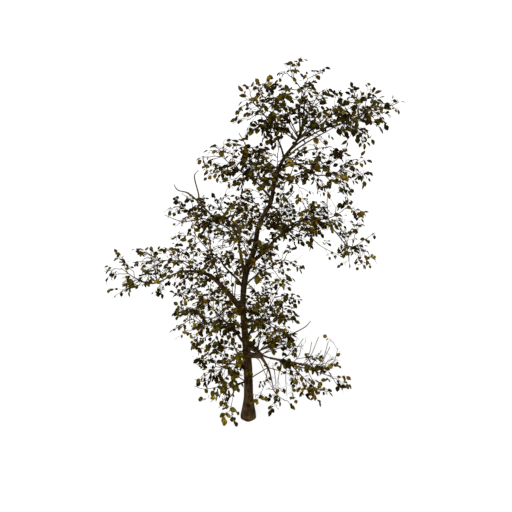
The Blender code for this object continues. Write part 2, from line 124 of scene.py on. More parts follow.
# The trunk: one tapering stem with a lean and a sway, root lobes at its foot, and dark brown bark
# in long upright plates. It starts as a curve through its middle line, is made a mesh, spread at
# the foot, cut off flat at the ground and pushed out into plates and cracks.
Station = namedtuple("Station", "height side radius")
TRUNK_LINE = [
    Station(0.00, 0.000, 0.113),
    Station(0.60, 0.008, 0.102),
    Station(1.50, -0.012, 0.092),
    Station(2.15, -0.058, 0.072),
    Station(2.95, -0.088, 0.061),
    Station(3.55, -0.024, 0.062),
    Station(4.10, 0.145, 0.053),
    Station(4.60, 0.235, 0.043),
    Station(5.00, 0.440, 0.037),
    Station(5.35, 0.500, 0.035),
    Station(5.80, 0.655, 0.031),
    Station(6.16, 0.905, 0.021),
    Station(6.70, 1.000, 0.012),
]
TRUNK_TOP = TRUNK_LINE[-1].height
TRUNK_SWAY = 0.05
TRUNK_SWAY_RATE = 1.1
TRUNK_STEPS = 480
TRUNK_SIDES = 96
BELOW_GROUND = 0.03
FLARE = 0.55
FLARE_HEIGHT = 0.34
ROOT_LOBES = 5
LOBE_DEPTH = 0.10
LOBE_TURN = math.atan2(0.31, -0.95)
PLATE_SIZE = 0.020
PLATE_STRETCH = 5
PLATE_DEPTH = 0.10
GRAIN_SIZE = 0.008
GRAIN_DEPTH = 0.03
BARK_DARK = (0.006, 0.0038, 0.0018)
BARK_LIGHT = (0.080, 0.047, 0.020)
BARK_SHADE = (0.36, 0.33, 0.24)
# Painted shade from the crown: the bark darkens between the first two heights, and above them it keeps the
# darkest share, which is the third number.
CROWN_SHADE_START = 1.9
CROWN_SHADE_FULL = 3.2
TRUNK_CROWN_SHADE = 0.42


def unit(vector):
    """The vector at a length of one."""
    return vector / np.linalg.norm(vector)


def smooth_value(stations, height, field):
    """A station's value at any height, on a smooth curve through the stations."""
    heights = [station.height for station in stations]
    values = [getattr(station, field) for station in stations]
    slopes = np.gradient(values, heights)
    k = min(max(int(np.searchsorted(heights, height)) - 1, 0), len(heights) - 2)
    span = heights[k + 1] - heights[k]
    t = (height - heights[k]) / span
    start = (1 + 2 * t) * (1 - t) ** 2 * values[k] + t * (1 - t) ** 2 * span * slopes[k]
    end = t * t * (3 - 2 * t) * values[k + 1] + t * t * (t - 1) * span * slopes[k + 1]
    return start + end


class Limb:
    """A tapering limb: the points of its middle line and the radius at each of them."""

    def __init__(self, points, radii):
        self.points = np.array(points)
        self.radii = np.array(radii)

    def at(self, share):
        """The point and the radius at a share of the way along."""
        place = share * (len(self.points) - 1)
        k = min(int(place), len(self.points) - 2)
        part = place - k
        point = self.points[k] * (1 - part) + self.points[k + 1] * part
        return point, self.radii[k] * (1 - part) + self.radii[k + 1] * part

    def direction(self, share):
        """The way that the limb runs at a share of the way along."""
        k = min(int(share * (len(self.points) - 1)), len(self.points) - 2)
        return unit(self.points[k + 1] - self.points[k])


def trunk_point(height):
    """The middle of the trunk at a height."""
    side = smooth_value(TRUNK_LINE, height, "side")
    return np.array((side, TRUNK_SWAY * math.sin(TRUNK_SWAY_RATE * height), height))


def root_flare(height, angle):
    """How much the foot of the trunk swells into its root lobes."""
    fade = math.exp(-(height / FLARE_HEIGHT) ** 2)
    return 1 + FLARE * fade * (1 - LOBE_DEPTH * fade * math.cos(ROOT_LOBES * angle))


def round_mesh(name, limbs, sides):
    """A mesh of round limbs, made from a curve through each one's points at its own thickness."""
    bpy.ops.object.select_all(action="DESELECT")
    bpy.ops.curve.primitive_nurbs_path_add()
    thing = bpy.context.object
    thing.name = name
    curve = thing.data
    curve.splines.clear()
    curve.bevel_depth = 1
    curve.bevel_resolution = sides // 2 - 2
    curve.use_fill_caps = True
    for limb in limbs:
        line = curve.splines.new("POLY")
        line.points.add(len(limb.points) - 1)
        for point, place, radius in zip(line.points, limb.points, limb.radii):
            point.co = (*place, 1)
            point.radius = radius
    bpy.ops.object.convert(target="MESH")
    return thing


def push_out(thing, kind, size, stretch, depth):
    """Give a mesh relief from a pattern that is drawn out upwards, deeper where the limb is thick."""
    pattern = bpy.data.textures.new("relief", kind)
    pattern.noise_scale = size
    if kind == "VORONOI":
        pattern.weight_1 = -1
        pattern.weight_2 = 1
        pattern.noise_intensity = 1.5
    bpy.ops.object.empty_add()
    frame_of_pattern = bpy.context.object
    frame_of_pattern.scale = (1, 1, stretch)
    bpy.ops.object.select_all(action="DESELECT")
    bpy.context.view_layer.objects.active = thing
    thing.select_set(True)
    relief = thing.modifiers.new("relief", "DISPLACE")
    relief.texture = pattern
    relief.texture_coords = "OBJECT"
    relief.texture_coords_object = frame_of_pattern
    relief.strength = depth
    relief.mid_level = 0.5
    relief.vertex_group = "thickness"
    bpy.context.view_layer.update()
    bpy.ops.object.modifier_apply(modifier="relief")
    bpy.data.objects.remove(frame_of_pattern)


def mark_thickness(thing, lines):
    """Weigh every corner by the thickness of the limb it belongs to, for the depth of its bark."""
    group = thing.vertex_groups.new(name="thickness")
    middles = np.concatenate([line.points for line in lines])
    radii = np.concatenate([line.radii for line in lines])
    for vertex in thing.data.vertices:
        nearest = int(np.argmin(((middles - np.array(vertex.co)) ** 2).sum(axis=1)))
        group.add([vertex.index], float(radii[nearest]), "REPLACE")


def bark_material(name, dark, light, scale, stretch, painted_crown_shade):
    """Bark: two browns in drawn-out streaks, darkened higher up by a given share as painted shade from the crown,
    with a fine rough bump.
    """
    material = bpy.data.materials.new(name)
    material.use_nodes = True
    nodes = material.node_tree.nodes
    links = material.node_tree.links
    surface = nodes["Principled BSDF"]
    surface.inputs["Roughness"].default_value = 0.9
    surface.inputs["Specular IOR Level"].default_value = 0.03
    place = nodes.new("ShaderNodeTexCoord")
    drawn_out = nodes.new("ShaderNodeMapping")
    drawn_out.inputs["Scale"].default_value = (scale, scale, scale / stretch)
    streaks = nodes.new("ShaderNodeTexNoise")
    streaks.inputs["Scale"].default_value = 1
    streaks.inputs["Detail"].default_value = 7
    streaks.inputs["Roughness"].default_value = 0.65
    tints = nodes.new("ShaderNodeValToRGB")
    tints.color_ramp.elements[0].position = 0.36
    tints.color_ramp.elements[0].color = (*dark, 1)
    tints.color_ramp.elements[1].position = 0.66
    tints.color_ramp.elements[1].color = (*light, 1)
    patches = nodes.new("ShaderNodeTexNoise")
    patches.inputs["Scale"].default_value = 7
    patches.inputs["Detail"].default_value = 3
    moss = nodes.new("ShaderNodeValToRGB")
    moss.color_ramp.elements[0].position = 0.38
    moss.color_ramp.elements[0].color = (*BARK_SHADE, 1)
    moss.color_ramp.elements[1].position = 0.62
    moss.color_ramp.elements[1].color = (1, 1, 1, 1)
    mixed = nodes.new("ShaderNodeMix")
    mixed.data_type = "RGBA"
    mixed.blend_type = "MULTIPLY"
    mixed.inputs[0].default_value = 1
    # Painted shade: the colour is darkened with height, as though the crown shaded the upper bark.
    crown_shade_by_height = nodes.new("ShaderNodeMapRange")
    crown_shade_by_height.inputs["From Min"].default_value = CROWN_SHADE_START
    crown_shade_by_height.inputs["From Max"].default_value = CROWN_SHADE_FULL
    crown_shade_by_height.inputs["To Min"].default_value = 1
    crown_shade_by_height.inputs["To Max"].default_value = painted_crown_shade
    heights = nodes.new("ShaderNodeSeparateXYZ")
    crown_shaded_colour = nodes.new("ShaderNodeVectorMath")
    crown_shaded_colour.operation = "SCALE"
    bump = nodes.new("ShaderNodeBump")
    bump.inputs["Strength"].default_value = 0.7
    bump.inputs["Distance"].default_value = 0.006
    links.new(place.outputs["Object"], drawn_out.inputs["Vector"])
    links.new(drawn_out.outputs["Vector"], streaks.inputs["Vector"])
    links.new(streaks.outputs["Fac"], tints.inputs["Fac"])
    links.new(place.outputs["Object"], patches.inputs["Vector"])
    links.new(patches.outputs["Fac"], moss.inputs["Fac"])
    links.new(tints.outputs["Color"], mixed.inputs[6])
    links.new(moss.outputs["Color"], mixed.inputs[7])
    links.new(place.outputs["Object"], heights.inputs["Vector"])
    links.new(heights.outputs["Z"], crown_shade_by_height.inputs["Value"])
    links.new(mixed.outputs[2], crown_shaded_colour.inputs[0])
    links.new(crown_shade_by_height.outputs["Result"], crown_shaded_colour.inputs["Scale"])
    links.new(crown_shaded_colour.outputs["Vector"], surface.inputs["Base Color"])
    links.new(streaks.outputs["Fac"], bump.inputs["Height"])
    links.new(bump.outputs["Normal"], surface.inputs["Normal"])
    return material


heights = [TRUNK_TOP * k / TRUNK_STEPS for k in range(TRUNK_STEPS + 1)]
trunk_points = [trunk_point(height) for height in heights]
trunk_radii = [smooth_value(TRUNK_LINE, height, "radius") for height in heights]
trunk_limb = Limb(trunk_points, trunk_radii)
buried = trunk_points[0] - (0, 0, BELOW_GROUND)
trunk = round_mesh("trunk_with_bark", [Limb([buried] + trunk_points, trunk_radii[:1] + trunk_radii)], TRUNK_SIDES)
for vertex in trunk.data.vertices:
    height = max(vertex.co.z, 0)
    middle = trunk_point(min(height, TRUNK_TOP))
    across = vertex.co.x - middle[0]
    away = vertex.co.y - middle[1]
    swell = root_flare(height, math.atan2(away, across) - LOBE_TURN)
    vertex.co.x = middle[0] + across * swell
    vertex.co.y = middle[1] + away * swell
mark_thickness(trunk, [trunk_limb])
push_out(trunk, "VORONOI", PLATE_SIZE, PLATE_STRETCH, PLATE_DEPTH)
push_out(trunk, "CLOUDS", GRAIN_SIZE, PLATE_STRETCH, GRAIN_DEPTH)
bpy.ops.object.mode_set(mode="EDIT")
bpy.ops.mesh.select_all(action="SELECT")
bpy.ops.mesh.bisect(plane_co=(0, 0, 0), plane_no=(0, 0, 1), clear_inner=True, use_fill=True)
bpy.ops.object.mode_set(mode="OBJECT")
bpy.ops.object.shade_smooth()
trunk.data.materials.append(bark_material("trunk_bark", BARK_DARK, BARK_LIGHT, 42, 6, TRUNK_CROWN_SHADE))
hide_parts("trunk")
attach(trunk, "root")

# The boughs: each a tapering limb that leaves the trunk or another bough and ends in its mass of
# foliage. They follow the same lines as the solids, with bark of their own and a collar at the foot.
Branch = namedtuple("Branch", "name parent place side back height along across up bow foot tip twigs")
BRANCHES = [
    Branch("low_right", "trunk", 1.93, 1.34, -0.80, 1.70, 0.68, 0.62, 0.44, -0.10, 0.052, 0.015, 9),
    Branch("low_front", "trunk", 1.60, 0.62, -1.10, 1.42, 0.36, 0.36, 0.22, 0.20, 0.022, 0.011, 4),
    Branch("low_left", "trunk", 1.58, -0.50, -0.85, 1.97, 0.50, 0.54, 0.50, 0.08, 0.032, 0.016, 18),
    Branch("low_hanging", "trunk", 0.98, -0.48, -1.24, 1.35, 0.33, 0.26, 0.19, 0.06, 0.016, 0.009, 2),
    Branch("low_back_left", "trunk", 1.85, -0.90, 0.78, 2.48, 0.76, 0.70, 0.58, 0.05, 0.034, 0.018, 25),
    Branch("low_back_right", "trunk", 1.92, 0.47, 0.78, 2.44, 0.66, 0.66, 0.58, 0.05, 0.032, 0.018, 20),
    Branch("front_left", "trunk", 2.25, -0.80, -0.46, 2.75, 0.70, 0.62, 0.52, 0.06, 0.026, 0.015, 20),
    Branch("front_right", "trunk", 2.35, 0.35, -0.60, 2.84, 0.60, 0.58, 0.52, 0.06, 0.026, 0.015, 18),
    Branch("left_arm", "trunk", 2.66, -2.06, -0.20, 3.65, 0.76, 0.64, 0.43, 0.52, 0.056, 0.026, 15),
    Branch("left_riser", "left_arm", 0.32, -1.16, 0.05, 3.79, 0.62, 0.60, 0.48, 0.05, 0.020, 0.013, 10),
    Branch("mid_right", "trunk", 3.25, 0.52, -0.30, 3.93, 0.56, 0.58, 0.40, 0.03, 0.022, 0.013, 14),
    Branch("mid_back", "trunk", 3.00, -0.05, 1.10, 3.35, 0.62, 0.64, 0.50, 0.05, 0.028, 0.015, 6),
    Branch("mid_back_left", "trunk", 3.20, -0.97, 1.00, 3.80, 0.62, 0.62, 0.48, 0.05, 0.026, 0.015, 10),
    Branch("right_arm", "trunk", 3.62, 0.98, 0.22, 4.57, 0.60, 0.60, 0.44, 0.06, 0.044, 0.026, 24),
    Branch("right_tip", "right_arm", 0.60, 1.70, 0.25, 4.72, 0.54, 0.54, 0.42, 0.16, 0.018, 0.012, 11),
    Branch("right_droop", "right_arm", 0.80, 2.26, 0.80, 3.76, 0.40, 0.40, 0.52, 0.47, 0.018, 0.011, 11),
    Branch("left_high", "trunk", 3.45, -0.36, 0.30, 4.71, 0.60, 0.60, 0.46, 0.20, 0.032, 0.016, 20),
    Branch("left_high_end", "left_high", 0.70, -1.10, 0.35, 4.68, 0.43, 0.48, 0.34, 0.06, 0.015, 0.010, 18),
    Branch("front_high", "trunk", 4.20, -0.05, -0.80, 4.60, 0.62, 0.62, 0.46, 0.05, 0.024, 0.014, 13),
    Branch("back_high", "trunk", 4.20, 0.35, 1.10, 4.55, 0.62, 0.66, 0.48, 0.05, 0.024, 0.014, 17),
    Branch("upper_left", "trunk", 5.04, -0.19, 0.10, 5.71, 0.64, 0.62, 0.45, 0.05, 0.024, 0.014, 23),
    Branch("upper_right", "trunk", 5.56, 1.58, 0.00, 5.59, 0.63, 0.60, 0.41, 0.14, 0.024, 0.015, 19),
    Branch("upper_front", "trunk", 5.20, 0.70, -0.65, 5.68, 0.52, 0.52, 0.40, 0.05, 0.020, 0.013, 11),
    Branch("upper_back", "trunk", 4.92, 0.58, 0.85, 5.50, 0.60, 0.62, 0.48, 0.05, 0.020, 0.013, 10),
    Branch("top_left", "trunk", 5.82, 0.34, -0.10, 6.69, 0.53, 0.54, 0.52, 0.05, 0.018, 0.012, 23),
    Branch("top_centre", "trunk", TRUNK_TOP, 0.93, 0.08, 7.06, 0.46, 0.48, 0.52, 0.00, 0.016, 0.011, 11),
    Branch("top_inner", "trunk", 6.10, 1.42, 0.30, 6.47, 0.58, 0.52, 0.53, 0.03, 0.014, 0.010, 8),
    Branch("top_right", "trunk", 5.96, 1.93, -0.10, 6.60, 0.48, 0.52, 0.49, 0.08, 0.018, 0.012, 22),
    Branch("top_right_end", "top_right", 0.60, 2.48, 0.10, 6.72, 0.34, 0.24, 0.20, 0.05, 0.012, 0.008, 2),
]
BOUGH_ENTERS = 0.72
BOUGH_STEPS = 5
BOUGH_FINE_STEPS = 70
BOUGH_SIDES = 20
BOUGH_PLATE_SIZE = 0.012
BOUGH_PLATE_DEPTH = 0.12
BOUGH_TAPER = 0.8
# Painted shade on the boughs: they darken with height like the trunk, but by a lighter share.
BOUGH_CROWN_SHADE = 0.85
SLIM_SHARES = (0, 0.25, 0.5, 0.8)
SLIM = {
    "low_right": (0.9, 0.8, 0.55, 0.5), "low_front": (0.8, 0.6, 0.5, 0.5), "left_arm": (1.0, 1.0, 0.9, 0.5),
}
WANDER = 0.035
WANDER_WAVES = 1.5
COLLAR = 0.22
COLLAR_LENGTH = 3
SPACE_MARGIN = 0.006
PULL_BACK = 0.1


class Space:
    """The space of one mass: an egg shape, cut off from its neighbours where their sizes meet."""

    def __init__(self, branch):
        self.centre = np.array((branch.side, branch.back, branch.height))
        out = self.centre - trunk_point(min(branch.height, TRUNK_TOP))
        out[2] = 0
        self.axes = np.array((unit(out), np.cross((0, 0, 1), unit(out)), (0, 0, 1)))
        self.radii = np.array((branch.along, branch.across, branch.up))
        self.walls = []

    def radius_towards(self, direction):
        """How far the egg shape reaches from its centre in one direction."""
        return 1 / np.linalg.norm(self.axes @ direction / self.radii)

    def wall_off(self, other):
        """Cut this space off from another, at the place that their two sizes share out."""
        between = other.centre - self.centre
        distance = np.linalg.norm(between)
        direction = between / distance
        own = self.radius_towards(direction)
        share = own / (own + other.radius_towards(direction))
        self.walls.append((direction, direction @ self.centre + distance * share - SPACE_MARGIN))

    def holds(self, point):
        """Whether a point lies in this space."""
        if np.linalg.norm(self.axes @ (point - self.centre) / self.radii) > 1:
            return False
        return all(direction @ point < limit for direction, limit in self.walls)

    def pulled_in(self, point):
        """The point, moved towards the centre until this space holds it."""
        while not self.holds(point):
            point = point + (self.centre - point) * PULL_BACK
        return point


def bough_limb(branch, foot, space, seed):
    """One bough: from its foot to where it enters its mass, bowed upwards and wandering a little."""
    way = unit(space.centre - foot)
    tip = space.pulled_in(space.centre - way * space.radius_towards(way) * BOUGH_ENTERS)
    length = np.linalg.norm(tip - foot)
    phase = random.Random(seed).uniform(0, 2 * math.pi)
    points = []
    radii = []
    for k in range(BOUGH_STEPS + 1):
        t = k / BOUGH_STEPS
        rise = np.array((0, 0, branch.bow * 4 * t * (1 - t)))
        wave = math.sin(math.pi * t) * math.sin(2 * math.pi * WANDER_WAVES * t + phase)
        points.append(foot + (tip - foot) * t + space.axes[1] * WANDER * length * wave + rise)
        collar = 1 + COLLAR * math.exp(-t * length / (COLLAR_LENGTH * branch.foot))
        radii.append((branch.foot + (branch.tip - branch.foot) * t ** BOUGH_TAPER) * collar)
    return Limb(points, radii)


def finer(limb, steps):
    """The same limb with many more points, on a smooth curve through its own."""
    places = np.arange(len(limb.points))
    slopes = np.gradient(limb.points, axis=0)
    points = []
    radii = []
    for place in np.linspace(0, len(places) - 1, steps + 1):
        k = min(int(place), len(places) - 2)
        t = place - k
        start = (1 + 2 * t) * (1 - t) ** 2 * limb.points[k] + t * (1 - t) ** 2 * slopes[k]
        end = t * t * (3 - 2 * t) * limb.points[k + 1] + t * t * (t - 1) * slopes[k + 1]
        points.append(start + end)
        radii.append(limb.radii[k] * (1 - t) + limb.radii[k + 1] * t)
    return Limb(points, radii)


spaces = {branch.name: Space(branch) for branch in BRANCHES}
for space in spaces.values():
    for other in spaces.values():
        if other is not space:
            space.wall_off(other)

limbs = {"trunk": trunk_limb}
bough_lines = []
for number, branch in enumerate(BRANCHES):
    if branch.place == TRUNK_TOP:
        limbs[branch.name] = limbs["trunk"]
        continue
    if branch.parent == "trunk":
        foot = trunk_point(branch.place)
    else:
        foot = limbs[branch.parent].at(branch.place)[0]
    limbs[branch.name] = bough_limb(branch, foot, spaces[branch.name], seed=100 + number)
    line = finer(limbs[branch.name], BOUGH_FINE_STEPS)
    along = np.linspace(0, 1, BOUGH_FINE_STEPS + 1)
    line.radii *= np.interp(along, SLIM_SHARES, SLIM.get(branch.name, (1, 1, 1, 1)))
    bough_lines.append(line)

boughs = round_mesh("boughs_with_bark", bough_lines, BOUGH_SIDES)
mark_thickness(boughs, bough_lines)
push_out(boughs, "VORONOI", BOUGH_PLATE_SIZE, 1, BOUGH_PLATE_DEPTH)
bpy.ops.object.shade_smooth()
boughs.data.materials.append(bark_material("bough_bark", BARK_DARK, BARK_LIGHT, 60, 1, BOUGH_CROWN_SHADE))
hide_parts(*("bough_" + branch.name for branch in BRANCHES if branch.place != TRUNK_TOP))
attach(boughs, "root")

# The twigs: in each mass one stem goes on from the limb, twigs leave it on all sides, and thin
# shoots leave those. Shorter leafy shoots also stand along the boughs and the trunk itself.
STEM_SHARES = (0.25, 0.5, 0.75, 1.0)
STEM_BEND = 0.45
STEM_THINNER = 0.95
STEM_END_AHEAD = 0.42
STEM_END_LIFT = 0.25
STEM_END_RADIUS = 0.006
GOLDEN_ANGLE = math.pi * (3 - math.sqrt(5))
TWIG_REACH = 0.98
TWIG_LEAST_REACH = 0.35
TWIG_REACH_STEP = 0.05
TWIG_DROPS = (0.15, 0.5)
TWIG_FOOT_RADIUS = 0.0085
TWIG_TIP_RADIUS = 0.0033
TWIG_KINK = 0.035
SHOOT_SPACING = 0.086
SHOOT_LENGTHS = (0.15, 0.38)
SHOOT_SPREAD = (math.radians(30), math.radians(62))
SHOOT_FOOT_RADIUS = 0.0038
SHOOT_TIP_RADIUS = 0.0020
INNER_SPACING = 0.085
INNER_LENGTHS = (0.18, 0.42)
INNER_START = 1.35
BARK_CLEARANCE = 0.012
BOX_MARGIN = 0.004
TRUNK_SHOWS = 0.13
TRUNK_LEAVES = 0.5
TWIG_DARK = (0.020, 0.013, 0.006)
TWIG_LIGHT = (0.118, 0.078, 0.040)
Gap = namedtuple("Gap", "name side height radius leaves")
GAPS = [
    Gap("beside_the_foot", 0.5, 0.8, 0.20, 0.1),
    Gap("foot_of_the_low_right", 1.35, 0.5, 0.25, 0.2),
    Gap("under_the_low_right", 0.9, 0.8, 0.25, 0.4),
    Gap("round_the_dead_stub", 0.45, 1.3, 0.25, 0.5),
    Gap("among_the_whips", 1.1, 1.9, 0.25, 0.2),
    Gap("beyond_the_whips", 1.8, 1.65, 0.25, 0.2),
    Gap("left_of_the_foot", -1.15, 1.0, 0.25, 0.1),
    Gap("under_the_left_arm", -0.6, 2.7, 0.25, 0.2),
    Gap("below_the_arm_end", -1.9, 3.1, 0.20, 0.2),
    Gap("window_in_the_arm", -1.9, 3.7, 0.20, 0.5),
    Gap("over_the_left_arm", -1.35, 4.55, 0.20, 0.1),
    Gap("window_at_the_left", -0.5, 4.1, 0.20, 0.2),
    Gap("under_the_upper_left", -0.55, 5.25, 0.20, 0),
    Gap("window_at_the_right", 1.0, 4.0, 0.20, 0.2),
    Gap("beside_the_trunk", 0.65, 4.95, 0.15, 0.2),
    Gap("under_the_right_tip", 1.9, 3.7, 0.25, 0.3),
    Gap("over_the_right_arm", 1.45, 5.15, 0.25, 0.2),
    Gap("in_the_fork", 1.25, 6.15, 0.20, 0.2),
    Gap("among_the_fan", 0.95, 6.6, 0.25, 0.5),
    Gap("under_the_top_right", 1.8, 6.0, 0.20, 0.2),
    Gap("between_the_tops", 1.7, 7.0, 0.20, 0.3),
    Gap("window_in_the_top", 0.75, 6.75, 0.15, 0.2),
    Gap("fuller_arm_end", -2.4, 3.5, 0.25, 1.8),
]
Seen = namedtuple("Seen", "name foot tip leafy points")
SEEN = [
    Seen("low_right_collar", 0.074, 0.038, 0, ((0.00, 0.03, 1.63), (0.15, -0.08, 1.67), (0.28, -0.20, 1.72))),
    Seen("low_right_neck", 0.050, 0.034, 0, ((0.00, 0.03, 1.81), (0.15, -0.08, 1.80), (0.28, -0.20, 1.76))),
    Seen("low_right_long", 0.024, 0.007, 0.8, (
        (0.46, -0.24, 1.70), (1.05, -0.48, 1.75), (1.44, -0.61, 1.72), (1.67, -0.73, 1.95), (1.72, -0.85, 2.38),
    )),
    Seen("low_right_fork", 0.014, 0.006, 0.8, ((0.86, -0.40, 1.71), (1.26, -0.78, 1.46), (1.54, -1.15, 1.59))),
    Seen("low_right_crook", 0.014, 0.006, 0.3, (
        (0.02, -0.08, 1.10), (0.29, -0.25, 1.40), (0.41, -0.42, 1.60), (0.57, -0.58, 1.68), (0.96, -0.75, 1.66),
    )),
    Seen("low_right_bare", 0.020, 0.008, 0, (
        (0.30, -0.05, 1.80), (0.60, 0.02, 1.96), (0.84, 0.07, 2.06), (1.17, 0.16, 2.20), (1.30, 0.20, 2.33),
    )),
    Seen("dead_stub", 0.036, 0.008, 0, ((0.27, -0.20, 1.72), (0.43, -0.31, 1.48), (0.53, -0.42, 1.10))),
    Seen("low_left_riser", 0.024, 0.009, 0.6, ((-0.08, -0.05, 1.59), (-0.22, -0.15, 1.81), (-0.36, -0.35, 2.42))),
    Seen("low_left_hang", 0.007, 0.004, 0.5, ((-0.28, -0.60, 1.15), (-0.33, -0.80, 0.96), (-0.38, -1.00, 0.92))),
    Seen("low_left_back", 0.013, 0.005, 0.4, ((-0.08, -0.05, 1.74), (-0.33, 0.07, 1.76), (-0.94, 0.30, 1.62))),
    Seen("left_low_bare", 0.012, 0.007, 0, ((-0.51, -0.05, 2.77), (-1.13, -0.05, 3.02), (-1.47, -0.05, 3.33))),
    Seen("left_low_long", 0.013, 0.005, 1, ((-0.15, -0.05, 2.72), (-0.45, -0.07, 2.77), (-0.96, -0.10, 2.30))),
    Seen("left_riser", 0.017, 0.006, 1, ((-0.60, -0.02, 3.25), (-0.72, 0.06, 4.22), (-0.66, 0.10, 4.57))),
    Seen("left_cross", 0.012, 0.005, 1, ((-0.08, 0.05, 3.82), (-0.37, 0.07, 3.83), (-0.92, 0.12, 3.83))),
    Seen("left_arm_upper", 0.014, 0.005, 1, (
        (-0.96, -0.10, 3.66), (-1.16, -0.12, 3.84), (-1.46, -0.15, 3.89), (-2.09, -0.20, 3.88),
    )),
    Seen("left_up_bare", 0.022, 0.008, 0, (
        (-0.42, 0.20, 4.69), (-0.81, 0.22, 4.81), (-1.08, 0.26, 5.07), (-1.29, 0.29, 5.13), (-1.36, 0.30, 5.24),
    )),
    Seen("left_up_crook", 0.02, 0.008, 0, (
        (-0.92, 0.23, 4.89), (-0.90, 0.24, 5.05), (-0.97, 0.29, 5.39), (-0.89, 0.30, 5.51),
    )),
    Seen("left_up_thin", 0.012, 0.006, 0, ((-0.92, 0.20, 4.47), (-1.23, 0.20, 4.54), (-1.56, 0.20, 4.67))),
    Seen("right_fork_low", 0.014, 0.005, 1, ((0.82, 0.20, 4.53), (1.24, 0.25, 4.47), (1.81, 0.35, 4.51))),
    Seen("right_droop_thin", 0.01, 0.004, 0.5, ((1.07, 0.20, 4.45), (1.37, 0.23, 4.06), (1.83, 0.30, 3.77))),
    Seen("right_end_droop", 0.009, 0.004, 1, ((1.80, 0.60, 4.22), (1.97, 0.67, 3.95), (2.11, 0.80, 3.40))),
    Seen("right_bare", 0.014, 0.007, 0, ((0.36, 0.05, 4.51), (0.52, 0.07, 4.78), (0.87, 0.10, 5.16))),
    Seen("upper_left_bare", 0.014, 0.007, 0, ((0.28, 0.05, 5.55), (0.01, 0.03, 5.98), (-0.13, 0.00, 6.27))),
    Seen("upper_right_long", 0.02, 0.006, 0.6, ((0.62, 0.05, 5.68), (1.17, 0.03, 5.69), (1.77, 0.00, 5.42))),
    Seen("upper_right_short", 0.013, 0.005, 0.8, ((0.74, 0.05, 5.74), (1.00, 0.00, 5.93), (1.49, -0.10, 6.06))),
    Seen("top_low", 0.02, 0.007, 0.5, ((0.67, 0.05, 5.77), (1.00, 0.04, 6.05), (1.62, 0.00, 6.42))),
]
Fan = namedtuple("Fan", "name count foot tip leafy rise first_foot first_tip last_foot last_tip")
FANS = [
    Fan("joint", 8, 0.012, 0.005, 1, 0.06, (0.24, -0.08, 1.84), (0.20, 0.05, 2.25), (0.36, -0.16, 1.78), (1.15, -0.25, 1.98)),
    Fan("whips", 8, 0.008, 0.006, 0, -0.05, (0.70, -0.20, 1.60), (0.98, -0.32, 2.36), (1.48, -0.60, 1.71), (1.73, -0.75, 2.45)),
    Fan("low_right_hang", 5, 0.009, 0.004, 0.6, 0.05, (0.41, -0.40, 1.60), (0.19, -0.60, 0.94), (0.90, -0.55, 1.75), (1.15, -0.78, 1.10)),
    Fan("low_right_end", 3, 0.008, 0.004, 0.5, -0.05, (1.10, -0.50, 1.74), (1.30, -0.62, 1.90), (1.40, -0.65, 1.88), (1.78, -0.80, 2.10)),
    Fan("low_left", 3, 0.016, 0.006, 0.4, 0.10, (-0.08, -0.10, 1.05), (-0.68, -0.80, 0.98), (-0.08, -0.08, 1.45), (-0.90, -0.50, 1.75)),
    Fan("low_left_whips", 2, 0.008, 0.006, 0, -0.06, (-0.70, -0.60, 1.00), (-1.18, -0.40, 0.93), (-0.80, -0.50, 1.65), (-1.20, -0.20, 1.45)),
    Fan("left_risers", 3, 0.012, 0.005, 1, 0, (-0.19, 0.00, 2.92), (-0.21, 0.00, 3.78), (-0.45, 0.00, 3.10), (-0.50, 0.08, 3.70)),
    Fan("left_arm_end", 3, 0.010, 0.005, 1, 0.05, (-1.55, -0.15, 3.87), (-2.03, -0.35, 3.44), (-1.68, -0.15, 3.89), (-2.05, -0.10, 4.14)),
    Fan("upper_left", 3, 0.014, 0.005, 0.8, 0.08, (0.43, 0.05, 5.27), (-0.28, 0.18, 5.62), (0.60, 0.05, 5.70), (0.03, 0.00, 5.90)),
    Fan("top_fan_left", 6, 0.013, 0.005, 0.8, 0.04, (0.88, 0.05, 6.10), (0.18, 0.10, 6.42), (0.96, 0.05, 6.22), (1.02, 0.00, 7.00)),
    Fan("top_fan_right", 6, 0.013, 0.006, 0.7, 0, (0.96, 0.05, 6.22), (1.18, -0.10, 7.04), (0.88, 0.05, 6.08), (1.60, -0.05, 6.58)),
]
FAN_REACHES = (0.7, 1.05)
FAN_UNEVEN = 0.035
SEEN_STEPS = 14
SEEN_SPACING = 0.09
SEEN_LENGTHS = (0.14, 0.34)


def bend(start, control, end, t):
    """A point on the curve that leaves the start towards the control point."""
    return start * (1 - t) ** 2 + control * 2 * t * (1 - t) + end * t * t


def mass_stem(space, limb):
    """The stem of a mass, on from the tip of its limb and up through the middle of its space."""
    way = limb.direction(1)
    start = limb.points[-1]
    ahead, _, up = space.radii * (STEM_END_AHEAD, 0, STEM_END_LIFT)
    end = space.pulled_in(space.centre + space.axes[0] * ahead + space.axes[2] * up)
    control = start + way * STEM_BEND * np.linalg.norm(end - start)
    foot = limb.radii[-1] * STEM_THINNER
    points = [start] + [bend(start, control, end, share) for share in STEM_SHARES]
    return Limb(points, [foot] + [foot + (STEM_END_RADIUS - foot) * share for share in STEM_SHARES])


limb_lines = [limb for name, limb in limbs.items() if name == "trunk" or limb is not limbs["trunk"]]
bark_starts = np.concatenate([limb.points[:-1] for limb in limb_lines])
bark_runs = np.concatenate([np.diff(limb.points, axis=0) for limb in limb_lines])
bark_squares = (bark_runs ** 2).sum(axis=1)
bark_radii = np.concatenate([limb.radii[:-1] for limb in limb_lines])


def off_the_bark(point):
    """Whether a point lies clear of every limb."""
    offset = point - bark_starts
    share = np.clip((offset * bark_runs).sum(axis=1) / bark_squares, 0, 1)
    nearest = np.linalg.norm(offset - bark_runs * share[:, None], axis=1)
    return (nearest - bark_radii).min() > BARK_CLEARANCE


def in_the_box(point):
    """Whether a point lies within the reach of the solids."""
    return all(solid_low[k] + BOX_MARGIN < point[k] < solid_high[k] - BOX_MARGIN for k in range(3))


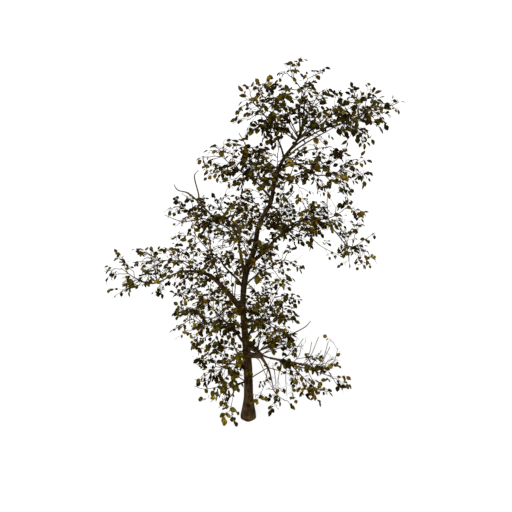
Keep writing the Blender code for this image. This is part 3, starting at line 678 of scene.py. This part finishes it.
def leafiness(point):
    """How full the crown is on the sight line of a point: nothing where sky shows, one elsewhere."""
    run = point - np.array(CAMERA_PLACE)
    across, _, up = CAMERA_PLACE - run * (CAMERA_PLACE[1] / run[1])
    for gap in GAPS:
        if math.hypot(across - gap.side, up - gap.height) < gap.radius:
            return gap.leaves
    if point[1] < 0 and up < TRUNK_TOP and abs(across - trunk_point(up)[0]) < TRUNK_SHOWS:
        return TRUNK_LEAVES
    return 1


def bent_twig(start, tip, lift, foot_radius, tip_radius, rng, steps=5):
    """A twig from a point to its tip, which leaves upwards and levels out, with a few kinks."""
    control = (start + tip) / 2 + np.array((0, 0, lift))
    shares = [k / steps for k in range(steps + 1)]
    points = [bend(start, control, tip, share) for share in shares]
    kink = TWIG_KINK * np.linalg.norm(tip - start)
    for point in points[1:-1]:
        point += [rng.gauss(0, kink) for _ in range(3)]
    return Limb(points, [foot_radius + (tip_radius - foot_radius) * share for share in shares])


def shoots_along(twig, start_share, spacing, lengths, holds, rng):
    """Thin shoots on both sides of a twig, each one kept only where the space holds its tip."""
    length = np.linalg.norm(twig.points[-1] - twig.points[0])
    count = max(int(length * (1 - start_share) / spacing), 1)
    turn = rng.uniform(0, 2 * math.pi)
    shoots = []
    for k in range(count):
        share = start_share + (1 - start_share) * (k + rng.uniform(0.2, 0.8)) / count
        joint, _ = twig.at(share)
        way = twig.direction(share)
        turn += math.pi + rng.uniform(-0.7, 0.7)
        level = unit(np.cross(way, (0.1, 0.2, 1)))
        aside = level * math.cos(turn) + np.cross(level, way) * math.sin(turn) * 0.8
        spread = rng.uniform(*SHOOT_SPREAD)
        direction = unit(way * math.cos(spread) + aside * math.sin(spread) + np.array((0, 0, 0.12)))
        reach = rng.uniform(*lengths) * (1.1 - 0.4 * share)
        for _ in range(3):
            tip = joint + direction * reach
            if holds(tip) and in_the_box(tip) and off_the_bark(tip) and leafiness(tip) > 0:
                shoots.append(bent_twig(joint, tip, 0.02, SHOOT_FOOT_RADIUS, SHOOT_TIP_RADIUS, rng, 3))
                break
            reach *= 0.7
    return shoots


sprays = []
twig_lines = []
for number, branch in enumerate(BRANCHES):
    space = spaces[branch.name]
    rng = random.Random(500 + number)
    stem = mass_stem(space, limbs[branch.name])
    twig_lines.append((stem, 7))
    turn = rng.uniform(0, 2 * math.pi)
    run = stem.points[-1] - stem.points[0]
    for k in range(branch.twigs):
        height = 1 - 2 * (k + 0.5) / branch.twigs
        angle = turn + k * GOLDEN_ANGLE
        flat = math.sqrt(1 - height * height)
        way = np.array((flat * math.cos(angle), flat * math.sin(angle), height))
        reach = TWIG_REACH
        tip = space.centre + reach * (way * space.radii) @ space.axes
        while reach > TWIG_LEAST_REACH and not (space.holds(tip) and in_the_box(tip)):
            reach -= TWIG_REACH_STEP
            tip = space.centre + reach * (way * space.radii) @ space.axes
        level = (tip - stem.points[0]) @ run / (run @ run) - rng.uniform(*TWIG_DROPS)
        start, _ = stem.at(min(max(level, 0.1), 0.98))
        lift = 0.10 * np.linalg.norm(tip - start)
        twig = bent_twig(start, tip, lift, TWIG_FOOT_RADIUS, TWIG_TIP_RADIUS, rng)
        twig_lines.append((twig, 5))
        shoots = shoots_along(twig, 0.25, SHOOT_SPACING, SHOOT_LENGTHS, space.holds, rng)
        sprays.append((twig, shoots))
        twig_lines += [(shoot, 3) for shoot in shoots]


def near_the_crown(point):
    """Whether a point lies within the reach of the foliage, in or between the masses."""
    for space in spaces.values():
        if np.linalg.norm(space.axes @ (point - space.centre) / space.radii) < 1.15:
            return True
    return False


for number, (name, limb) in enumerate(limbs.items()):
    if name != "trunk" and limb is limbs["trunk"]:
        continue
    rng = random.Random(900 + number)
    start_share = INNER_START / TRUNK_TOP if name == "trunk" else 0.15
    shoots = shoots_along(limb, start_share, INNER_SPACING, INNER_LENGTHS, near_the_crown, rng)
    for shoot in shoots:
        side_shoots = shoots_along(shoot, 0.3, SHOOT_SPACING, (0.08, 0.2), near_the_crown, rng)
        sprays.append((shoot, side_shoots))
        twig_lines += [(line, 3) for line in [shoot] + side_shoots]

spread_out = []
for number, fan in enumerate(FANS):
    rng = random.Random(2500 + number)
    for k in range(fan.count):
        share = (k + rng.uniform(0.1, 0.9)) / fan.count
        foot = np.array(fan.first_foot) * (1 - share) + np.array(fan.last_foot) * share
        tip = np.array(fan.first_tip) * (1 - share) + np.array(fan.last_tip) * share
        tip = foot + (tip - foot) * rng.uniform(*FAN_REACHES)
        middle = (foot + tip) / 2 + (0, 0, fan.rise)
        for point in (middle, tip):
            point += [rng.gauss(0, FAN_UNEVEN) for _ in range(3)]
        spread_out.append(Seen(fan.name, fan.foot, fan.tip, fan.leafy, (foot, middle, tip)))

carriers = [trunk_limb] + bough_lines
for number, seen in enumerate(SEEN + spread_out):
    rng = random.Random(1500 + number)
    points = np.array(seen.points)
    places = [carrier.points[((carrier.points - points[0]) ** 2).sum(axis=1).argmin()] for carrier in carriers]
    points[0] = min(places, key=lambda place: ((place - points[0]) ** 2).sum())
    radii = np.linspace(seen.foot, seen.tip, len(points))
    line = finer(Limb(points, radii), SEEN_STEPS)
    carriers.append(line)
    twig_lines.append((line, 8))
    if seen.leafy:
        shoots = shoots_along(line, 0.2, SEEN_SPACING / seen.leafy, SEEN_LENGTHS, in_the_box, rng)
        for shoot in shoots:
            side_shoots = shoots_along(shoot, 0.3, SHOOT_SPACING, (0.08, 0.2), in_the_box, rng)
            sprays.append((shoot, side_shoots))
            twig_lines += [(line, 3) for line in [shoot] + side_shoots]

twig_corners = []
twig_faces = []
for line, sides in twig_lines:
    side = np.cross(line.points[-1] - line.points[0], (0.31, 0.95, 0.02))
    first = len(twig_corners)
    for point, radius in zip(line.points, line.radii):
        way = line.points[-1] - line.points[0]
        across = unit(side - way * (side @ way) / (way @ way))
        other = unit(np.cross(way, across))
        for k in range(sides):
            angle = 2 * math.pi * k / sides
            twig_corners.append(point + (across * math.cos(angle) + other * math.sin(angle)) * radius)
    for low in range(first, len(twig_corners) - sides, sides):
        for k in range(sides):
            following = (k + 1) % sides
            twig_faces.append((low + k, low + following, low + sides + following, low + sides + k))
    twig_faces.append(tuple(range(len(twig_corners) - sides, len(twig_corners))))
    twig_faces.append(tuple(range(first + sides - 1, first - 1, -1)))


def joined_mesh(name, corners, faces, materials, rounded):
    """One piece of many like shapes, from their corners and faces."""
    mesh = bpy.data.meshes.new(name)
    mesh.from_pydata([tuple(corner) for corner in corners], [], faces)
    for material in materials:
        mesh.materials.append(material)
    if rounded:
        mesh.shade_smooth()
    piece = bpy.data.objects.new(name, mesh)
    bpy.context.scene.collection.objects.link(piece)
    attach(piece, "root")
    return piece


twig_bark = bark_material("twig_bark", TWIG_DARK, TWIG_LIGHT, 120, 1, 1)
twigs = joined_mesh("twigs", twig_corners, twig_faces, [twig_bark], rounded=True)
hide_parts(*("leaves_" + branch.name for branch in BRANCHES))

# The leaves: pointed ovals on short stalks, folded along the midrib and drooping at the tip, dull
# olive with a thin rusty margin. One is shaped from a grid and laid out along every twig and shoot.
# Every spray has one tint, and a few sprays have turned. The tints also carry painted light and shade: darker
# near the trunk, lighter low down and towards the outside, with a near-black tint for painted shade and the
# brightest tint partly for painted highlight.
LEAF_LENGTHS = (0.060, 0.165, 0.110)
SIZE_HEIGHTS = (1.2, 2.2, 3.0, 5.4, 6.4)
SIZES = (1.10, 1.02, 0.95, 0.95, 1.02)
LEAF_WIDTH = 0.62
LEAF_STALK = 0.16
LEAF_ROWS = (0.0, 0.09, 0.26, 0.45, 0.66, 0.85, 1.0)
LEAF_WIDTHS = (0.04, 0.50, 0.88, 1.0, 0.84, 0.44, 0.01)
LEAF_FOLD = 0.16
LEAF_DROOP = 0.10
MARGIN_SHARE = 0.74
STALK_WIDTH = 0.022
LEAF_SPACING = 0.066
LEAF_SPREAD = (math.radians(30), math.radians(75))
LEAF_NODS = (-0.1, 1.1)
LEAF_ROLL = 0.95
LEAF_OUTWARD = 0.50
BARE_SHARE = 0.12
# Painted light: below these heights the sprays are dealt lighter tints.
LOW_PAINTED_LIGHT_HEIGHTS = (1.2, 2.4)
LOW_PAINTED_LIGHT_SHARES = (0.6, 1.0)
# Painted shade: sprays near the trunk are dealt darker tints, and outer ones lighter tints.
PAINTED_INNER_SHADE_REACHES = (0.4, 2.0)
PAINTED_INNER_SHADE_SHARES = (1.15, 0.75)
Tint = namedtuple("Tint", "name share blade margin")
TINTS = [
    # Painted shade: this near-black tint stands for leaves that lie in shade.
    Tint("deep_painted_shade", 0.28, (0.0076, 0.0053, 0.0004), (0.0057, 0.0031, 0.0002)),
    Tint("umber", 0.10, (0.0199, 0.0120, 0.0008), (0.0132, 0.0060, 0.0005)),
    Tint("moss", 0.20, (0.0265, 0.0232, 0.0013), (0.0161, 0.0103, 0.0007)),
    Tint("olive", 0.30, (0.0436, 0.0318, 0.0014), (0.0265, 0.0138, 0.0007)),
    Tint("bronze", 0.07, (0.0568, 0.0327, 0.0016), (0.0416, 0.0163, 0.0010)),
    # Partly painted highlight: this brightest tint is a turned leaf colour and also stands for sunlit leaves.
    Tint("golden_painted_highlight", 0.05, (0.1006, 0.0717, 0.0044), (0.0644, 0.0310, 0.0016)),
]


def pick(thing, chosen):
    """Select the corners of a mesh that pass a test, and no others, in edit mode."""
    bpy.ops.object.mode_set(mode="EDIT")
    bpy.ops.mesh.select_mode(type="VERT")
    bpy.ops.mesh.select_all(action="DESELECT")
    bpy.ops.object.mode_set(mode="OBJECT")
    for corner in thing.data.vertices:
        corner.select = chosen(corner.co)
    bpy.ops.object.mode_set(mode="EDIT")


def leaf_material(name, colour):
    """A leaf's surface: one tint, uneven over the crown and with faint blotches, and a soft sheen."""
    material = bpy.data.materials.new(name)
    material.use_nodes = True
    nodes = material.node_tree.nodes
    links = material.node_tree.links
    surface = nodes["Principled BSDF"]
    surface.inputs["Roughness"].default_value = 0.55
    surface.inputs["Specular IOR Level"].default_value = 0.01
    place = nodes.new("ShaderNodeTexCoord")
    blotches = nodes.new("ShaderNodeTexNoise")
    blotches.inputs["Scale"].default_value = 20
    blotches.inputs["Detail"].default_value = 4
    tints = nodes.new("ShaderNodeValToRGB")
    tints.color_ramp.elements[0].position = 0.34
    tints.color_ramp.elements[0].color = (*(value * 0.35 for value in colour), 1)
    tints.color_ramp.elements[1].position = 0.66
    tints.color_ramp.elements[1].color = (*(value * 1.65 for value in colour), 1)
    links.new(place.outputs["Object"], blotches.inputs["Vector"])
    links.new(blotches.outputs["Fac"], tints.inputs["Fac"])
    links.new(tints.outputs["Color"], surface.inputs["Base Color"])
    return material


bpy.ops.object.select_all(action="DESELECT")
bpy.ops.mesh.primitive_grid_add(x_subdivisions=4, y_subdivisions=len(LEAF_ROWS) - 1, size=1)
leaf = bpy.context.object
leaf.name = "leaf_pattern"
for face in leaf.data.polygons:
    face.material_index = int(abs(face.center.x) > 0.25)
pick(leaf, lambda place: 0.2 < abs(place.x) < 0.3)
bpy.ops.transform.resize(value=(2 * MARGIN_SHARE, 1, 1), center_override=(0, 0, 0))
bpy.ops.transform.translate(value=(0, 0, MARGIN_SHARE / 2 * LEAF_FOLD))
pick(leaf, lambda place: abs(place.x) > 0.45)
bpy.ops.transform.translate(value=(0, 0, LEAF_FOLD / 2))
for number in range(len(LEAF_ROWS) - 1, -1, -1):
    height = number / (len(LEAF_ROWS) - 1) - 0.5
    row = LEAF_ROWS[number]
    width = LEAF_WIDTH * LEAF_WIDTHS[number]
    pick(leaf, lambda place: abs(place.y - height) < 0.01)
    bpy.ops.transform.resize(value=(width, 1, width), center_override=(0, 0, 0))
    rise = LEAF_STALK + (1 - LEAF_STALK) * row - height
    bpy.ops.transform.translate(value=(0, rise, -LEAF_DROOP * row * row))
bpy.ops.mesh.primitive_plane_add(size=1)
bpy.ops.transform.resize(value=(STALK_WIDTH, LEAF_STALK, 1), center_override=(0, 0, 0))
bpy.ops.transform.translate(value=(0, LEAF_STALK / 2, 0))
bpy.ops.object.mode_set(mode="OBJECT")
shape_corners = np.array([corner.co for corner in leaf.data.vertices])
shape_faces = [tuple(face.vertices) for face in leaf.data.polygons]
shape_margins = [face.material_index for face in leaf.data.polygons]
bpy.data.objects.remove(leaf)
leaf_piles = {tint.name: [] for tint in TINTS}


def hang_leaf(pile, joint, direction, length, rng):
    """Place one leaf by its stalk, lying more or less level, if it stays within the tree's reach."""
    outward = unit(joint - trunk_point(min(joint[2], TRUNK_TOP)))
    up = outward * LEAF_OUTWARD + (rng.gauss(0, LEAF_ROLL), rng.gauss(0, LEAF_ROLL), 1.0)
    across = unit(np.cross(direction, up))
    normal = np.cross(across, direction)
    placed = joint + (shape_corners * length) @ np.array((across, direction, normal))
    if in_the_box(placed.min(axis=0)) and in_the_box(placed.max(axis=0)):
        pile.append(placed)


shares = np.cumsum([tint.share for tint in TINTS])
for spray_number, (twig, shoots) in enumerate(sprays):
    rng = random.Random(2000 + spray_number)
    size = np.interp(twig.points[-1][2], SIZE_HEIGHTS, SIZES)
    for line in [twig] + shoots:
        tip = line.points[-1]
        # Painted light and shade: sprays low down and far from the trunk are dealt lighter tints, and those close
        # to the trunk darker ones.
        dark = np.interp(tip[2], LOW_PAINTED_LIGHT_HEIGHTS, LOW_PAINTED_LIGHT_SHARES)
        reach = np.linalg.norm(tip - trunk_point(min(tip[2], TRUNK_TOP)))
        chance = rng.random() ** (dark * np.interp(reach, PAINTED_INNER_SHADE_REACHES, PAINTED_INNER_SHADE_SHARES))
        tint = TINTS[min(int(np.searchsorted(shares, chance)), len(TINTS) - 1)]
        pile = leaf_piles[tint.name]
        if rng.random() < BARE_SHARE:
            continue
        own_length = np.linalg.norm(line.points[-1] - line.points[0])
        first = 0.55 if line is twig else 0.2
        fullness = leafiness(line.at(0.6)[0])
        count = round(max(own_length * (1 - first) / LEAF_SPACING, 1) * fullness)
        turn = rng.choice((0, math.pi))
        for k in range(count):
            share = first + (1 - first) * (k + 0.5) / count
            joint, _ = line.at(share)
            way = line.direction(share)
            turn += math.pi + rng.uniform(-0.5, 0.5)
            level = unit(np.cross(way, (0.1, 0.2, 1)))
            aside = level * math.cos(turn) + np.cross(level, way) * math.sin(turn)
            spread = rng.uniform(*LEAF_SPREAD)
            lean = np.array((0, 0, -rng.uniform(*LEAF_NODS)))
            direction = unit(way * math.cos(spread) + aside * math.sin(spread) + lean)
            hang_leaf(pile, joint, direction, rng.triangular(*LEAF_LENGTHS) * size, rng)
        if fullness < 1 and rng.random() > fullness:
            continue
        lean = np.array((0, 0, -rng.uniform(*LEAF_NODS)))
        direction = unit(line.direction(1) + lean)
        hang_leaf(pile, line.points[-1], direction, rng.triangular(*LEAF_LENGTHS) * size, rng)

for tint in TINTS:
    placed = leaf_piles[tint.name]
    corners = np.concatenate(placed)
    faces = [
        tuple(len(shape_corners) * number + k for k in face)
        for number in range(len(placed))
        for face in shape_faces
    ]
    materials = [
        leaf_material("leaf_" + tint.name, tint.blade),
        leaf_material("margin_" + tint.name, tint.margin),
    ]
    leaves = joined_mesh("leaves_" + tint.name, corners, faces, materials, rounded=False)
    leaves.data.polygons.foreach_set("material_index", np.array(shape_margins * len(placed), np.int32))
    print("leaves", tint.name, len(placed))

# The cones: small dark woody eggs in clusters of two to four, each on a thin stalk near a spray's tip.
CONE_LENGTH = 0.024
CONE_WIDTH = 0.015
CONE_CHANCE = 0.35
CONE_SIDES = 7
CONE_SWELLS = (1.25, 1.08, 0.90, 0.75)
CONE_STALK = 0.02
CONE_STALK_RADIUS = 0.0013
CONE_SCALES = (0.85, 1.2)

bpy.ops.object.select_all(action="DESELECT")
bpy.ops.mesh.primitive_uv_sphere_add(segments=CONE_SIDES, ring_count=len(CONE_SWELLS) + 1, radius=0.5)
cone = bpy.context.object
cone.name = "cone_pattern"
for number, swell in enumerate(CONE_SWELLS):
    height = -0.5 * math.cos(math.pi * (number + 1) / (len(CONE_SWELLS) + 1))
    pick(cone, lambda place: abs(place.z - height) < 0.01)
    bpy.ops.transform.resize(value=(swell, swell, 1), center_override=(0, 0, 0))
bpy.ops.mesh.select_all(action="SELECT")
bpy.ops.transform.resize(value=(CONE_WIDTH, CONE_WIDTH, CONE_LENGTH), center_override=(0, 0, 0))
bpy.ops.transform.translate(value=(0, 0, CONE_STALK + CONE_LENGTH / 2))
bpy.ops.mesh.select_all(action="DESELECT")
bpy.ops.mesh.primitive_cylinder_add(vertices=4, radius=CONE_STALK_RADIUS, depth=CONE_STALK)
bpy.ops.transform.translate(value=(0, 0, CONE_STALK / 2))
bpy.ops.object.mode_set(mode="OBJECT")
cone_shape = np.array([corner.co for corner in cone.data.vertices])
cone_shape_faces = [tuple(face.vertices) for face in cone.data.polygons]
bpy.data.objects.remove(cone)

hung_cones = []
for spray_number, (twig, _) in enumerate(sprays):
    rng = random.Random(7000 + spray_number)
    if rng.random() > CONE_CHANCE:
        continue
    joint, _ = twig.at(rng.uniform(0.75, 0.98))
    for _ in range(rng.randint(2, 4)):
        hang = unit(np.array((rng.uniform(-0.8, 0.8), rng.uniform(-0.8, 0.8), rng.uniform(-1, 0.3))))
        side = unit(np.cross(hang, (0.3, 0.9, 0.1)))
        placed = joint + (cone_shape * rng.uniform(*CONE_SCALES)) @ np.array((side, np.cross(hang, side), hang))
        if in_the_box(placed.min(axis=0)) and in_the_box(placed.max(axis=0)):
            hung_cones.append(placed)
cone_faces = [
    tuple(len(cone_shape) * number + k for k in face)
    for number in range(len(hung_cones))
    for face in cone_shape_faces
]
cone_wood = bark_material("cone_wood", (0.006, 0.004, 0.003), (0.030, 0.020, 0.012), 260, 1, 1)
cones = joined_mesh("cones", np.concatenate(hung_cones), cone_faces, [cone_wood], rounded=True)
